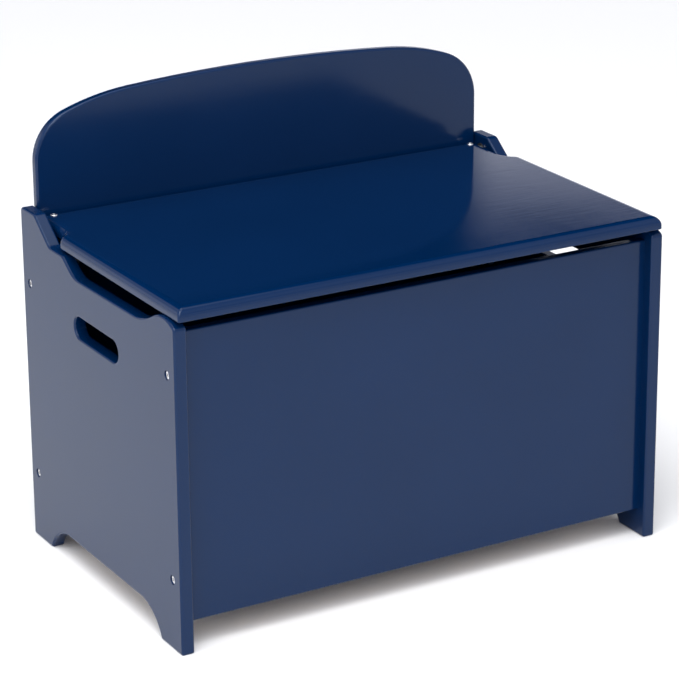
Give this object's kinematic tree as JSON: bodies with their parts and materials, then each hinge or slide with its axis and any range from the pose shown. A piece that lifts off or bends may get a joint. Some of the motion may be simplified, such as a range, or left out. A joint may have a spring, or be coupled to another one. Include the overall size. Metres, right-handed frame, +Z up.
{
  "type": "toy box",
  "caption": "Wooden toy box on shaped side panels, with a hinged lid that is also a seat, an arched backrest, handle slots and lid stays.",
  "frame": {"origin": "on the floor, midway between the side panels and midway along their depth; the lid's 3.5 mm overhang puts the bounding box's centre 1.75 mm in front of it", "axes": "+X to the right-hand side seen from the front, +Y to the back, +Z up"},
  "size_m": [0.61, 0.3795, 0.5239],
  "materials": {
    "navy_paint": "smooth semi-gloss navy paint over board",
    "bare_wood": "planed, unpainted",
    "bright_bolts": "polished nickel plate",
    "zinc_steel": "bright zinc plate",
    "black_plastic": "fine grain"
  },
  "bodies": {
    "box": {"back_barrel_nuts": "zinc_steel", "back_cleat": "bare_wood", "back_dowels": "bare_wood", "back_panel": "navy_paint", "backrest": "navy_paint", "backrest_screws": "zinc_steel", "bottom_panel": "navy_paint", "bottom_screws": "zinc_steel", "cleat_screws": "zinc_steel", "front_barrel_nuts": "zinc_steel", "front_cleat": "bare_wood", "front_dowels": "bare_wood", "front_panel": "navy_paint", "guide_screws": "zinc_steel", "left_bolts": "bright_bolts", "left_cleat": "bare_wood", "left_guide_knob": "black_plastic", "left_pivot_bush": "black_plastic", "left_side_panel": "navy_paint", "left_stay_guide": "zinc_steel", "right_bolts": "bright_bolts", "right_cleat": "bare_wood", "right_guide_knob": "black_plastic", "right_pivot_bush": "black_plastic", "right_side_panel": "navy_paint", "right_stay_guide": "zinc_steel"},
    "lid": {"lid": "navy_paint", "left_pivot_pin": "zinc_steel", "right_pivot_pin": "zinc_steel", "lid_pin_bolts": "bright_bolts", "left_lid_bracket": "zinc_steel", "right_lid_bracket": "zinc_steel", "left_stay_rivet": "zinc_steel", "right_stay_rivet": "zinc_steel", "bracket_screws": "zinc_steel"},
    "left_arm": {"left_stay_arm": "zinc_steel"},
    "right_arm": {"right_stay_arm": "zinc_steel"}
  },
  "joints": [
    {"name": "lid_hinge", "type": "hinge", "parent": "box", "child": "lid", "pos_m": [0, 0.1645, 0.3795], "axis": [-1, 0, 0], "range_deg": [0, 80]},
    {"name": "left_arm_pivot", "type": "hinge", "parent": "lid", "child": "left_arm", "pos_m": [-0.286, 0.08624, 0.3629], "axis": [-1, 0, 0], "range_deg": [-40, 0]},
    {"name": "right_arm_pivot", "type": "hinge", "parent": "lid", "child": "right_arm", "pos_m": [0.286, 0.08624, 0.3629], "axis": [-1, 0, 0], "range_deg": [-40, 0]}
  ],
  "couplings": [
    {"joint": "left_arm_pivot", "follows": "lid_hinge", "ratio": -0.5},
    {"joint": "right_arm_pivot", "follows": "lid_hinge", "ratio": -0.5}
  ]
}
